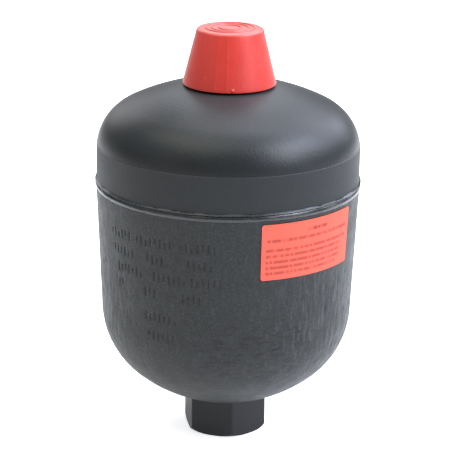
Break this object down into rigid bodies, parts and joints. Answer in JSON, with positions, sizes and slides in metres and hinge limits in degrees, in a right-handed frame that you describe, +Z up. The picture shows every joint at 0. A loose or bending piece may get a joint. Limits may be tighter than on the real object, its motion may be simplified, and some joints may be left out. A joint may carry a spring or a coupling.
{
  "type": "diaphragm accumulator",
  "caption": "Welded steel hydraulic accumulator: dished black vessel with a hexagonal oil port below, an inner rubber diaphragm, a red label and a red pull-off cap.",
  "frame": {"origin": "centre of the oil port's flat bottom face, which is also the middle of the bottom of the bounding box", "axes": "+Z runs up the vessel's axis from the oil port to the gas side; -Y faces the viewer, with the label to the right on +X"},
  "size_m": [0.1116, 0.1116, 0.1755],
  "materials": {
    "upper_paint": "smooth satin black paint",
    "lower_paint": "matt black paint over a rough forging",
    "weld_paint": "black paint over weld",
    "port_paint": "smooth black paint over a turned hexagon",
    "boss_paint": "black paint outside, bare steel in the recess",
    "ring_steel": "turned steel",
    "button_steel": "turned steel",
    "screw_steel": "zinc plated steel",
    "diaphragm_rubber": "moulded nitrile rubber",
    "seal_rubber": "nitrile rubber",
    "cap_plastic": "satin red moulded plastic",
    "label_film": "matt orange-red film with darker bars"
  },
  "bodies": {
    "vessel": {"upper_shell": "upper_paint", "lower_shell": "lower_paint", "seam_weld": "weld_paint", "clamp_ring": "ring_steel", "diaphragm": "diaphragm_rubber", "port_connector": "port_paint", "gas_boss": "boss_paint", "gas_boss_weld": "weld_paint", "charging_screw": "screw_steel", "charging_seal": "seal_rubber", "label": "label_film"},
    "cap": {"protective_cap": "cap_plastic"},
    "button": {"valve_button": "button_steel"}
  },
  "joints": [
    {"name": "cap_pull", "type": "slide", "parent": "vessel", "child": "cap", "axis": [0, 0, 1], "range_m": [0, 0.03]},
    {"name": "button_lift", "type": "slide", "parent": "vessel", "child": "button", "axis": [0, 0, 1], "range_m": [0, 0.085], "stiffness_N_per_m": 50, "deforming": ["diaphragm"]}
  ]
}
